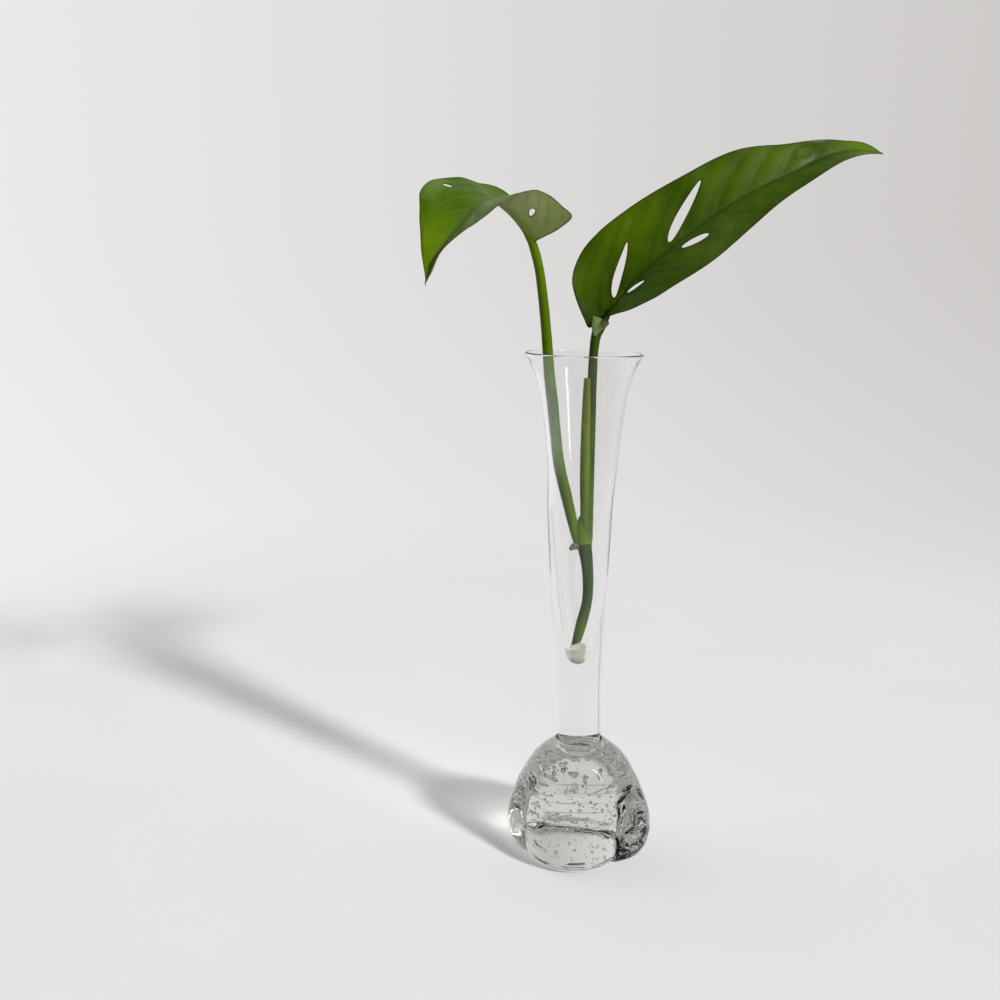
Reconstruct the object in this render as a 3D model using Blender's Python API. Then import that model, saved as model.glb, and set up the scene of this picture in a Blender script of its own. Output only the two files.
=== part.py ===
"""Monstera cutting with two leaves, standing in a clear glass bud vase.

+Z is up, and the origin is at the centre of the vase's flat foot. The two leaves reach out
to -X and +X, and a view along +Y shows both best. Every length in this file is in
millimetres, and add_object turns it into metres.
"""
from math import cos, pi, radians, sin, tau

import bpy
import numpy as np
from mathutils import Vector, geometry

MM = 0.001
GAP = 0.3                           # left between pieces that touch
POLE_RADIUS = 0.6                   # small flat in the middle of a rounded end

# ---- colour, roughness and transmission of each piece ----
FINISHES = {
    "vase_base": ((0.86, 0.88, 0.86), 0.05, 1.0),
    "vase_tube": ((0.93, 0.95, 0.94), 0.03, 1.0),
    "stem": ((0.10, 0.17, 0.04), 0.45, 0.0),
    "aerial_root": ((0.16, 0.10, 0.05), 0.7, 0.0),
    "leaf_sheath": ((0.33, 0.42, 0.10), 0.55, 0.0),
    "petiole_left": ((0.15, 0.21, 0.03), 0.42, 0.0),
    "petiole_right": ((0.13, 0.22, 0.03), 0.42, 0.0),
    "leaf_left": ((0.10, 0.18, 0.03), 0.42, 0.0),
    "leaf_right": ((0.07, 0.16, 0.01), 0.38, 0.0),
}

# ---- driving dimensions of the vase's tube ----
VASE_HEIGHT = 200
RIM_ROUNDING = 0.6
WELL_BOTTOM = 79                    # lowest point of the hollow
SOCKET_BOTTOM = 38                  # lowest point of the tube's rounded foot, inside the dome
RIM_SLANT = 0.02                    # rise of the rim across its width
RIM_SLANT_START = 160               # the slant comes in above this height
TUBE_DRIFT = -0.9                   # the hand-drawn tube's middle stands this far off the axis
DRIFT_RISE = (47, 70)               # between these heights it leaves the axis
DRIFT_FALL = (140, 160)             # and between these it comes back
TUBE_SIDES = 36
# height and radius of the tube's outside, from its rounded foot up to the rim
TUBE_OUTSIDE = [(46, 8.2), (50, 8.8), (62, 9.4), (86, 10.2), (108, 11.0), (132, 12.2), (158, 13.4),
                (172, 14.7), (182, 16.1), (190, 17.8), (195.5, 20.1), (199.4, 22.3)]
# height and radius of the hollow, from its rounded bottom up to the rim
TUBE_WELL = [(83, 3.1), (87, 4.0), (96, 5.7), (111, 7.4), (122, 8.7), (132, 9.8), (144, 10.8),
             (158, 11.9), (172, 13.3), (182, 14.8), (190, 16.5), (195.5, 18.8), (199.4, 21.1)]
# heights at which the tube's walls are drawn, closer together where they flare
OUTSIDE_LEVELS = [46, 56, 70, 86, 102, 118, 134, 148, 160, 170, 179, 186, 191.5, 195.5, 197.8, 199.4]
WELL_LEVELS = [83, 84.5] + OUTSIDE_LEVELS[3:]

# ---- driving dimensions of the vase's base ----
# height and widest radius of the dome, from the edge of its foot up to the tube
DOME_PROFILE = [(0, 23.0), (1.2, 25.2), (4, 27.4), (8.5, 28.8), (14, 28.9), (20, 27.7), (28, 24.7),
                (35, 21.2), (40.5, 17.2), (44.5, 12.6), (47, 9.2)]
DOME_LEVELS = [0, 0.6, 1.6, 3.2, 5.5, 9, 13, 17.5, 22, 26.5, 31, 35, 38.5, 41.5, 44, 46, 47]
# the lobes pulled out of the dome: direction in degrees, distance of the centre, and radius
LOBES = [(-110, 7.5, 19.3), (-8, 13.0, 16.0), (80, 8.0, 18.5), (163, 13.0, 16.0)]
LOBE_REACH = 29.0                   # the dome's widest radius
LOBE_BLEND = 28                     # a higher power makes sharper grooves between lobes
LOBE_FADE = (12, 40)                # the lobes melt into the round dome between these heights
BASE_SIDES = 60

# ---- driving dimensions of the stalks ----
# the points of each line run from its lower end up, with a radius at each point
STEM_LINE = [(-1.6, 0, 87.0), (0.4, 0, 94.5), (2.6, 0, 104), (2.8, 0, 112), (2.2, 0, 119), (1.0, 0, 126.5)]
STEM_RADIUS = [2.1, 2.2, 2.1, 2.2, 2.4, 2.9]
STEM_TOP = 126.6                    # both petioles stand on it
STEM_CUT_SLANT = 32                 # degrees
STEM_OVAL = 0.85                    # depth of the stem as a share of its width
STEM_SIDES = 16
LEFT_PETIOLE_LINE = [(-1.6, 0, 127), (-3.4, 0, 134), (-6.3, 0, 146), (-9.1, -0.2, 158), (-10.7, -0.5, 171),
                     (-11.8, -1.0, 182), (-13.0, -1.6, 192), (-14.4, -2.6, 208), (-15.8, -3.8, 221),
                     (-17.3, -4.9, 232), (-18.3, -5.6, 236.3), (-19.5, -6.55, 239.5)]
LEFT_PETIOLE_RADIUS = [1.25, 1.8, 2.15, 2.15, 2.1, 2.1, 2.0, 1.85, 1.75, 1.65, 1.5, 1.3]
RIGHT_PETIOLE_LINE = [(2.4, 0, 127), (2.5, 0, 134), (2.6, 0, 146), (2.8, 0.2, 160), (3.0, 0.6, 172),
                      (3.2, 1.0, 184), (3.4, 1.4, 193), (3.9, 2.2, 201.5), (4.6, 2.9, 206), (5.6, 3.7, 209.2)]
RIGHT_PETIOLE_RADIUS = [1.7, 1.75, 1.8, 1.8, 1.8, 1.75, 1.75, 1.65, 1.5, 1.2]
ROOT_LINE = [(-1.6, -0.6, 125.2), (-2.6, -1.0, 124.9), (-3.6, -1.3, 124.4), (-4.6, -1.5, 123.6)]
ROOT_RADIUS = [1.1, 1.2, 1.0, 0.6]
STALK_SIDES = 10
# distance along a stalk from one ring of points to the next
PETIOLE_STEP = 4.1
STEM_STEP = 3.2
ROOT_STEP = 0.6

# ---- driving dimensions of the sheath ----
SHEATH_THICKNESS = 0.5
# at these distances along the right petiole: how far the sheath stands proud in its middle,
# and the half angle that it wraps, in degrees
SHEATH_PLACES = [1.5, 10, 25, 45, 64]
SHEATH_BULGE = [0.2, 0.9, 1.1, 1.1, 0.7]
SHEATH_HALF_ANGLE = [60, 85, 85, 78, 58]
SHEATH_ROWS = 20
SHEATH_COLUMNS = 7

# ---- driving dimensions of the leaves ----
BLADE_THICKNESS = 0.4
RIB_DEPTH = 1.3                     # how far the midrib stands out below, at the petiole
RIB_HALF_WIDTH = 1.1
LEAF_SPACING = 3.2                  # between points of the blade
LEAF_COLUMNS = [-21, -18, -15, -12, -9, -6, -3.5, -1.5, 0, 1.5, 3.5, 6, 9, 12, 15, 18, 21]
EDGE_CLEARANCE = 0.6                # inner points keep this share of the spacing to an edge
HOLE_POINTS = 14

# Each leaf is drawn flat, by s, the distance along the midrib from the petiole, and x, the
# distance out from the midrib, positive to the left. Then it is folded along the midrib.
#   midrib        points in space that the midrib runs through
#   side          direction in which the left half lies before it is folded
#   fold_left     (s, angle): degrees by which the left half rises from the side direction
#   fold_right    (s, angle): and the right half
#   left_margin   (s, x) of the left edge, and right_margin (s, -x) of the right one
#   length        s of the tip
#   holes         middle s, middle x, length, width, heading in degrees, taper and sway
RIGHT_LEAF = {
    "midrib": [(5.6, 2.9, 210.3), (11.5, 2.0, 219.5), (23, 1.2, 231), (45, 1.2, 248.5), (60, 2.8, 257.9),
               (75, 5.6, 265.0), (95, 12.0, 273.4), (105, 16.2, 274.8), (114.5, 20.7, 274.2)],
    "side": (-0.54, 0.46, 0.70),
    "fold_left": [(0, 10), (130, 10)],
    "fold_right": [(0, 70), (8, 45), (20, 30), (130, 26)],
    "left_margin": [(0, 1.0), (-3, 2.4), (-1, 6.8), (3.6, 13.4), (8.6, 18.9), (14.8, 22), (23, 23), (35, 22.2),
                    (57, 19.5), (79, 17.0), (99, 10.2), (117, 5.0), (130, 2.4)],
    "right_margin": [(0, 1.0), (2, 4), (5.8, 7.8), (10.5, 12.5), (17, 14.8), (30, 15.4), (46, 16), (65, 13.6),
                     (88, 9), (104, 7), (118, 4.8), (130, 2)],
    "length": 133.5,
    "holes": [(19.8, 6.8, 20.5, 2.8, 34, 0.35, -0.1), (50.6, 8.2, 25.2, 3.3, 28, 0.3, -0.1),
              (19.8, -3.2, 7.6, 1.8, -10, 0.2, 0.0), (47, -4.0, 10.8, 2.5, -12, -0.1, 0.0)],
}
LEFT_LEAF = {
    "midrib": [(-19.4, -6.4, 240.7), (-23.8, -11.7, 246.8), (-29.2, -19.5, 251.8), (-34.6, -28, 254.2),
               (-39.2, -33.5, 252.3), (-43.1, -38, 247.8), (-48.2, -43, 241.6), (-51.9, -46.5, 235.9),
               (-55.5, -51, 227.7)],
    "side": (0.56, -0.78, -0.25),
    "fold_left": [(0, 36), (12, 38), (19, 39), (25, 37), (30, 24), (36, 10), (46, 11), (56, 20), (66, 36)],
    "fold_right": [(0, 45), (12, 30), (22, 12), (32, 14), (42, 24), (75, 25)],
    "left_margin": [(0, 1.0), (0.8, 4.5), (3.2, 13.5), (6.5, 19.2), (12, 18), (18, 16.8), (25, 15),
                    (35, 13.2), (46, 11.6), (56, 8.6), (64, 4.4), (70, 1.8)],
    "right_margin": [(0, 1.0), (2, 6), (8, 12), (17, 16.5), (26, 16.5), (34, 19), (39, 20.8), (45, 19),
                     (51, 15), (58, 9.8), (66, 4.5), (71, 1.6)],
    "length": 75,
    "holes": [(13.4, 6.6, 4.3, 1.9, 42, -0.35, 0.0), (36.2, -14.5, 3.4, 1.1, -75, 0.0, 0.0)],
}


# ---- curves ----
def ease(value, low, high):
    """0 below low and 1 above high, with a smooth rise between them."""
    t = np.clip((value - low) / (high - low), 0, 1)
    return t * t * (3 - 2 * t)


def smooth_through(places, values, at):
    """Value at each place on a smooth curve through the given values at the given places."""
    places = np.asarray(places, float)
    values = np.asarray(values, float)
    at = np.asarray(at, float)
    slopes = np.gradient(values, places, axis=0)
    cell = np.clip(np.searchsorted(places, at) - 1, 0, len(places) - 2)
    width = places[cell + 1] - places[cell]
    t = np.clip((at - places[cell]) / width, 0, 1)
    if values.ndim == 2:
        width = width[..., None]
        t = t[..., None]
    rise = t * t * (3 - 2 * t)
    straight = values[cell] * (1 - rise) + values[cell + 1] * rise
    return straight + (slopes[cell] * (1 - t) - slopes[cell + 1] * t) * t * (1 - t) * width


def smooth_pairs(pairs, at):
    """The same, for a list of (place, value) pairs."""
    places, values = zip(*pairs)
    return smooth_through(places, values, at)


def chord_lengths(points):
    """Distance walked along the points up to each of them."""
    steps = np.linalg.norm(np.diff(np.asarray(points, float), axis=0), axis=1)
    return np.concatenate([[0], np.cumsum(steps)])


# ---- objects ----
def make_material(name, color, roughness, transmission):
    made = bpy.data.materials.new(name)
    made.use_nodes = True
    shader = made.node_tree.nodes["Principled BSDF"]
    shader.inputs["Base Color"].default_value = (*color, 1)
    shader.inputs["Roughness"].default_value = roughness
    shader.inputs["Metallic"].default_value = 0
    shader.inputs["Transmission Weight"].default_value = transmission
    made.diffuse_color = (*color, 1)
    return made


def add_object(name, vertices, faces):
    """A named piece with its own material, shaded smooth except at sharp edges."""
    mesh = bpy.data.meshes.new(name)
    mesh.from_pydata([tuple(float(value) * MM for value in vertex) for vertex in vertices], [], faces)
    mesh.update()
    mesh.materials.append(make_material(name + "_finish", *FINISHES[name]))
    mesh.shade_smooth()
    mesh.set_sharp_from_angle(angle=radians(40))
    bpy.context.scene.collection.objects.link(bpy.data.objects.new(name, mesh))


def join_rings(rings):
    """Vertices and faces of a closed body through rings of equal size, with flat ends."""
    size = len(rings[0])
    vertices = [point for ring in rings for point in ring]
    faces = []
    for low in range(0, (len(rings) - 1) * size, size):
        high = low + size
        for k in range(size):
            after = (k + 1) % size
            faces.append((low + k, low + after, high + after, high + k))
    faces.append(tuple(reversed(range(size))))
    faces.append(tuple(range(len(vertices) - size, len(vertices))))
    return vertices, faces


# ---- the vase ----
def round_bottom(top, lowest, steps):
    """Heights and radii of a bowl, from near its lowest point up to its top (height, radius)."""
    height, radius = top
    angles = [(k + 1) / (steps + 0.6) * pi / 2 for k in range(steps)]
    return [(height - (height - lowest) * cos(angle), radius * sin(angle)) for angle in angles]


def tube_ring(z, radius):
    """One level of the tube, moved by its drift and tilted by the rim's slant."""
    middle = TUBE_DRIFT * ease(z, *DRIFT_RISE) * (1 - ease(z, *DRIFT_FALL))
    slant = RIM_SLANT * max(0, (z - RIM_SLANT_START) / (VASE_HEIGHT - RIM_SLANT_START)) ** 2
    ring = []
    for k in range(TUBE_SIDES):
        x = radius * cos(tau * k / TUBE_SIDES)
        y = radius * sin(tau * k / TUBE_SIDES)
        ring.append((middle + x, y, z - slant * x))
    return ring


def make_vase_tube():
    rim_z, rim_out = TUBE_OUTSIDE[-1]
    rim_in = TUBE_WELL[-1][1]
    levels = [(SOCKET_BOTTOM, POLE_RADIUS)]
    levels += round_bottom(TUBE_OUTSIDE[0], SOCKET_BOTTOM, 4)
    levels += [(z, smooth_pairs(TUBE_OUTSIDE, z)) for z in OUTSIDE_LEVELS]
    for angle in (45, 90, 135):
        across = (rim_out + rim_in + (rim_out - rim_in) * cos(radians(angle))) / 2
        levels.append((rim_z + RIM_ROUNDING * sin(radians(angle)), across))
    levels += [(z, smooth_pairs(TUBE_WELL, z)) for z in reversed(WELL_LEVELS)]
    levels += reversed(round_bottom(TUBE_WELL[0], WELL_BOTTOM, 3))
    levels += [(WELL_BOTTOM, POLE_RADIUS)]
    add_object("vase_tube", *join_rings([tube_ring(z, radius) for z, radius in levels]))


def lobe_outline(turn):
    """The lobed outline as a share of its widest reach, in one direction."""
    total = 0
    for direction, out, radius in LOBES:
        off = turn - radians(direction)
        across = out * sin(off)
        reach = out * cos(off) + max(radius ** 2 - across ** 2, 0) ** 0.5
        total += max(reach, 0) ** LOBE_BLEND
    return total ** (1 / LOBE_BLEND) / LOBE_REACH


def make_vase_base():
    turns = [tau * k / BASE_SIDES for k in range(BASE_SIDES)]
    rings = []
    for z in DOME_LEVELS:
        radius = smooth_pairs(DOME_PROFILE, z)
        lobed = 1 - ease(z, *LOBE_FADE)
        reach = [radius * (1 + lobed * (lobe_outline(turn) - 1)) for turn in turns]
        rings.append([(r * cos(turn), r * sin(turn), z) for r, turn in zip(reach, turns)])
    foot_z, foot_radius = TUBE_OUTSIDE[0]
    socket_top = (foot_z, foot_radius + GAP)
    socket = [socket_top]
    socket += reversed(round_bottom(socket_top, SOCKET_BOTTOM - GAP, 4))
    socket += [(SOCKET_BOTTOM - GAP, POLE_RADIUS)]
    for z, radius in socket:
        rings.append([(radius * cos(turn), radius * sin(turn), z) for turn in turns])
    add_object("vase_base", *join_rings(rings))


# ---- the stalks ----
def stalk_rings(line, radii, step, sides=STALK_SIDES, oval=1.0):
    """Rings square to a smooth line, with a radius that follows the same line."""
    walked = chord_lengths(line)
    at = np.linspace(0, walked[-1], int(walked[-1] / step) + 1)
    centres = smooth_through(walked, line, at)
    widths = smooth_through(walked, radii, at)
    tangents = np.gradient(centres, at, axis=0)
    turns = tau * np.arange(sides) / sides
    rings = []
    for centre, width, tangent in zip(centres, widths, tangents):
        tangent = tangent / np.linalg.norm(tangent)
        front = np.cross(tangent, (1, 0, 0))
        front /= np.linalg.norm(front)
        across = np.cross(front, tangent)
        section = np.outer(np.cos(turns), across) + oval * np.outer(np.sin(turns), front)
        rings.append(centre + width * section)
    return rings


def make_stem():
    """The stem, with a slanted cut below and a level top."""
    rings = stalk_rings(STEM_LINE, STEM_RADIUS, STEM_STEP, STEM_SIDES, STEM_OVAL)
    cut = rings[0]
    cut[:, 2] += (cut[:, 0] - cut[:, 0].mean()) * np.tan(radians(STEM_CUT_SLANT))
    rings[-1][:, 2] = STEM_TOP
    add_object("stem", *join_rings(rings))


def make_sheath():
    """The split sheath, which hugs the left side of the right petiole."""
    walked = chord_lengths(RIGHT_PETIOLE_LINE)
    at = np.linspace(SHEATH_PLACES[0], SHEATH_PLACES[-1], SHEATH_ROWS)
    centres = smooth_through(walked, RIGHT_PETIOLE_LINE, at)
    inner_radii = smooth_through(walked, RIGHT_PETIOLE_RADIUS, at) + GAP
    bulges = smooth_through(SHEATH_PLACES, SHEATH_BULGE, at)
    half_angles = np.radians(smooth_through(SHEATH_PLACES, SHEATH_HALF_ANGLE, at))
    share = np.linspace(-1, 1, SHEATH_COLUMNS)
    rings = []
    for centre, inner, bulge, half_angle in zip(centres, inner_radii, bulges, half_angles):
        angles = pi + half_angle * share
        arc = np.stack([np.cos(angles), np.sin(angles), np.zeros(SHEATH_COLUMNS)], axis=1)
        outer = inner + SHEATH_THICKNESS + bulge * np.cos(share * pi / 2) ** 2
        rings.append(np.concatenate([centre + arc * outer[:, None], centre + arc[::-1] * inner]))
    add_object("leaf_sheath", *join_rings(rings))


# ---- the leaves ----
def midrib_frame(leaf, s):
    """Place, side and upward directions of the midrib at each s."""
    walked = chord_lengths(leaf["midrib"])
    inside = np.clip(s, 0, walked[-1])
    step = 0.5
    ahead = smooth_through(walked, leaf["midrib"], np.clip(inside + step, 0, walked[-1]))
    behind = smooth_through(walked, leaf["midrib"], np.clip(inside - step, 0, walked[-1]))
    forward = ahead - behind
    forward /= np.linalg.norm(forward, axis=1)[:, None]
    place = smooth_through(walked, leaf["midrib"], inside) + forward * (s - inside)[:, None]
    side = np.array(leaf["side"]) - forward * (forward @ np.array(leaf["side"]))[:, None]
    side /= np.linalg.norm(side, axis=1)[:, None]
    return place, side, np.cross(forward, side)


def blade_points(leaf, s, x):
    """Points of the folded blade's upper face."""
    place, side, up = midrib_frame(leaf, s)
    fold = np.where(x >= 0, smooth_pairs(leaf["fold_left"], s), smooth_pairs(leaf["fold_right"], s))
    fold = np.radians(fold)
    return place + side * (x * np.cos(fold))[:, None] + up * (np.abs(x) * np.sin(fold))[:, None]


def blade_normals(leaf, s, x):
    step = 0.2
    along = blade_points(leaf, s + step, x) - blade_points(leaf, s - step, x)
    outward = np.where(x >= 0, step, -step)
    across = (blade_points(leaf, s, x + outward) - blade_points(leaf, s, x)) * np.sign(outward)[:, None]
    normal = np.cross(along, across)
    return normal / np.linalg.norm(normal, axis=1)[:, None]


def even_walk(points, spacing):
    """Points about that far apart on a smooth curve through the given ones."""
    walked = chord_lengths(points)
    count = int(round(walked[-1] / spacing)) + 1
    return smooth_through(walked, points, np.linspace(0, walked[-1], count))


def leaf_outline(leaf):
    """The flat leaf's edge, anticlockwise: out along the right margin and back along the left."""
    tip = (leaf["length"], 0)
    out = even_walk([(s, -x) for s, x in leaf["right_margin"]] + [tip], LEAF_SPACING)
    back = even_walk(leaf["left_margin"] + [tip], LEAF_SPACING)[::-1]
    return np.concatenate([out, back[1:]])


def hole_outline(hole):
    """A teardrop hole, clockwise."""
    s, x, length, width, heading, taper, sway = hole
    turns = -tau * np.arange(HOLE_POINTS) / HOLE_POINTS
    along = np.cos(turns)
    across = np.sin(turns) * (1 - taper * along) * width / 2 + sway * np.sin(pi * along)
    along = along * length / 2
    lean = radians(heading)
    ahead = s + along * cos(lean) - across * sin(lean)
    aside = x + along * sin(lean) + across * cos(lean)
    return np.stack([ahead, aside], axis=1)


def inside_loop(points, loop):
    """Whether each flat point lies inside a closed loop."""
    inside = np.zeros(len(points), bool)
    for a, b in zip(loop, np.roll(loop, -1, axis=0)):
        if a[1] == b[1]:
            continue
        spans = (points[:, 1] < a[1]) != (points[:, 1] < b[1])
        place = a[0] + (points[:, 1] - a[1]) / (b[1] - a[1]) * (b[0] - a[0])
        inside ^= spans & (points[:, 0] < place)
    return inside


def on_blade(points, outline, holes):
    """Whether each flat point lies on the leaf and in none of its holes."""
    kept = inside_loop(points, outline)
    for hole in holes:
        kept &= ~inside_loop(points, hole)
    return kept


def flat_triangles(outline, holes):
    """Vertices and triangles of the flat leaf with its holes cut out."""
    loops = [outline] + holes
    rim = np.concatenate(loops)
    rows = np.arange(LEAF_SPACING, outline[:, 0].max(), LEAF_SPACING)
    grid = np.array([(s, x) for s in rows for x in LEAF_COLUMNS])
    grid = grid[on_blade(grid, outline, holes)]
    to_rim = np.min(np.linalg.norm(grid[:, None] - rim[None], axis=2), axis=1)
    grid = grid[to_rim > EDGE_CLEARANCE * LEAF_SPACING]
    edges = []
    start = 0
    for loop in loops:
        edges += [(start + k, start + (k + 1) % len(loop)) for k in range(len(loop))]
        start += len(loop)
    flat = [Vector(point) for point in np.concatenate([rim, grid])]
    points, _, triangles, _, _, _ = geometry.delaunay_2d_cdt(flat, edges, [], 0, 1e-6)
    points = np.array([tuple(point) for point in points])
    corners = np.array([tuple(triangle) for triangle in triangles])
    corners = corners[on_blade(points[corners].mean(axis=1), outline, holes)]
    used, corners = np.unique(corners, return_inverse=True)
    return points[used], corners.reshape(-1, 3)


def thicken(upper, lower, triangles):
    """Vertices and faces of the closed body between two sheets with the same triangles."""
    count = len(upper)
    faces = [tuple(int(corner) for corner in triangle) for triangle in triangles]
    directed = {pair for a, b, c in faces for pair in ((a, b), (b, c), (c, a))}
    faces += [(c + count, b + count, a + count) for a, b, c in faces]
    for a, b in sorted(directed):
        if (b, a) not in directed:
            faces.append((b, a, a + count, b + count))
    return np.concatenate([upper, lower]), faces


def make_leaf(name, leaf):
    """A folded blade with its holes, and with a midrib that stands out below."""
    holes = [hole_outline(hole) for hole in leaf["holes"]]
    points, triangles = flat_triangles(leaf_outline(leaf), holes)
    s, x = points.T
    rib = RIB_DEPTH * np.clip(1 - s / leaf["length"], 0, 1) * np.exp(-(x / RIB_HALF_WIDTH) ** 2)
    upper = blade_points(leaf, s, x)
    lower = upper - blade_normals(leaf, s, x) * (BLADE_THICKNESS + rib)[:, None]
    add_object(name, *thicken(upper, lower, triangles))


# ---- run ----
for old in list(bpy.data.objects):
    bpy.data.objects.remove(old, do_unlink=True)

make_vase_base()
make_vase_tube()
make_stem()
add_object("petiole_left", *join_rings(stalk_rings(LEFT_PETIOLE_LINE, LEFT_PETIOLE_RADIUS, PETIOLE_STEP)))
add_object("petiole_right", *join_rings(stalk_rings(RIGHT_PETIOLE_LINE, RIGHT_PETIOLE_RADIUS, PETIOLE_STEP)))
make_sheath()
add_object("aerial_root", *join_rings(stalk_rings(ROOT_LINE, ROOT_RADIUS, ROOT_STEP)))
make_leaf("leaf_left", LEFT_LEAF)
make_leaf("leaf_right", RIGHT_LEAF)
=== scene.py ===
"""Looks of a monstera cutting in a clear glass bud vase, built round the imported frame.

Lengths are in millimetres, as in the CAD part, and make_piece turns them into metres.
"""
import random
from math import cos, pi, radians, sin, tau

import bmesh
import bpy
import numpy as np
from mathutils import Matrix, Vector, geometry, kdtree


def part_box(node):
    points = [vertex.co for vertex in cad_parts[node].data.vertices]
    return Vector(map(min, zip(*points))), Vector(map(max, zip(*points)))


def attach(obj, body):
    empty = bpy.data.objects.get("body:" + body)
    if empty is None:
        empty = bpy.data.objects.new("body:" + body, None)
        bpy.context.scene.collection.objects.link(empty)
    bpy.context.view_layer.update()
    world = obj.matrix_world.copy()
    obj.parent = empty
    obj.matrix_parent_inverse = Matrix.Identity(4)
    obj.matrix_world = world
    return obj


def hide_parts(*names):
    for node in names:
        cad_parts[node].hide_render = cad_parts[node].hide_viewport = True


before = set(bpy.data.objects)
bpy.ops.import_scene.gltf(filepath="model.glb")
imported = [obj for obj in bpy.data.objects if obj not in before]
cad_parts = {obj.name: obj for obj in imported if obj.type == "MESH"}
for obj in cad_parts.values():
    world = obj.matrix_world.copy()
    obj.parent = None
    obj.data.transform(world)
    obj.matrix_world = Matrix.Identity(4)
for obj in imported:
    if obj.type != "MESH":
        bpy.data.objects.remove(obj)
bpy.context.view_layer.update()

MM = 0.001
chance = random.Random(11)

# ---- the vase, close to the CAD part ----
VASE_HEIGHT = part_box("vase_tube")[1].z / MM
RIM_ROUNDING = 0.6
WELL_BOTTOM = 79
SOCKET_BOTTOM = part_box("vase_tube")[0].z / MM
SOCKET_GAP = 0.3
POLE_RADIUS = 0.3
# the well's glass is pearly below this height
PEARL_TOP = 86.5
# the heights over which the base's glass turns from its lighter foot tint, painted light for the light
# gathered in the foot, to its darker tint, and over which it starts to shade the table
FOOT_TINT_BLEND = (13, 19)
FOOT_SHADE_BLEND = (0.2, 0.8)
RIM_SLANT = 0.02
RIM_SLANT_START = 160
TUBE_DRIFT = -0.9
DRIFT_RISE = (47, 70)
DRIFT_FALL = (140, 160)
TUBE_OUTSIDE = [(46, 8.2), (50, 8.8), (62, 9.4), (86, 10.2), (108, 11.0), (132, 12.2), (158, 13.4),
                (172, 14.7), (182, 16.1), (190, 17.8), (195.5, 20.1), (199.4, 22.3)]
TUBE_WELL = [(83, 3.0), (87, 3.8), (96, 5.6), (111, 7.4), (122, 8.7), (132, 9.8), (144, 10.8),
             (158, 11.9), (172, 13.3), (182, 14.8), (190, 16.5), (195.5, 18.8), (199.4, 21.1)]
DOME_PROFILE = [(0, 23.0), (1.2, 25.2), (4, 27.4), (8.5, 28.8), (14, 28.9), (20, 27.7), (28, 24.7),
                (35, 21.2), (40.5, 17.2), (44.5, 12.6), (47, 9.2)]
LOBES = [(-110, 7.5, 19.3), (-8, 13.0, 16.0), (80, 8.0, 18.5), (163, 13.0, 16.0)]
LOBE_REACH = 29.0
LOBE_BLEND = 28
LOBE_FADE = (12, 40)
# how far the dome's front leans in, as a share of its radius, and where the front is, in degrees
FRONT_LEAN = 0.16
FRONT_DIRECTION = -100
# fine threads of air round the inside of the dome: height, share of the way out, start and end in degrees
AIR_THREADS = [(33, 0.74, -165, -30), (29.5, 0.72, -150, -25), (26, 0.8, -175, -60), (22.5, 0.8, -160, -35),
               (20.5, 0.86, -150, -70), (17, 0.84, -140, -50), (30, 0.7, 20, 150), (23, 0.8, 40, 170)]
TUBE_SIDES = 224
TUBE_STEP = 1.2
FLARE_START = 180
FLARE_STEP = 0.9
BASE_SIDES = 240
SKIN_WAVE = 0.04
# shells of bubbles: share of the way out, lowest and highest place, and how many
BUBBLE_SHELLS = [(0.92, 3, 24, 200), (0.88, 20, 34, 90), (0.72, 4, 38, 150), (0.45, 3, 30, 80)]
# close clusters of bubbles: direction in degrees and height
BUBBLE_CLUSTERS = [(215, 40.5), (-38, 41)]
CLUSTER_COUNT = 80
BUBBLE_RING_COUNT = 44

# ---- the stalks, close to the CAD part ----
STEM_LINE = [(-1.6, 0, 87.0), (0.4, 0, 94.5), (2.6, 0, 104), (2.8, 0, 112), (2.2, 0, 119), (1.0, 0, 126.5)]
STEM_RADIUS = [2.1, 2.2, 2.1, 2.2, 2.4, 2.9]
STEM_CUT_SLANT = 32
STEM_CUT_RINGS = 14
STEM_OVAL = 0.85
LEFT_PETIOLE_LINE = [(-0.6, 0, 124.5), (-1.6, 0, 127), (-3.4, 0, 134), (-6.3, 0, 146), (-9.1, -0.2, 158),
                     (-10.7, -0.5, 171), (-11.8, -1.0, 182), (-13.0, -1.6, 192), (-14.4, -2.6, 208),
                     (-15.8, -3.8, 221), (-17.5, -4.9, 232), (-18.7, -5.6, 236.6)]
LEFT_PETIOLE_RADIUS = [1.2, 1.5, 1.9, 2.15, 2.2, 2.15, 2.15, 2.05, 1.9, 1.8, 1.7, 1.7]
LEFT_PETIOLE_END = [1.5, 1.15, 0.85, 0.65, 0.45]
RIGHT_PETIOLE_LINE = [(1.8, 0, 124.5), (2.3, 0, 127), (2.5, 0, 134), (2.6, 0, 146), (2.8, 0.2, 160),
                      (3.0, 0.6, 172), (3.2, 1.0, 184), (3.4, 1.4, 193), (3.9, 2.2, 201.5), (4.6, 2.9, 206)]
RIGHT_PETIOLE_RADIUS = [1.6, 1.8, 1.85, 1.85, 1.8, 1.8, 1.75, 1.75, 1.75, 1.9]
RIGHT_PETIOLE_END = [2.2, 1.5, 1.0, 0.6, 0.4]
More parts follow.
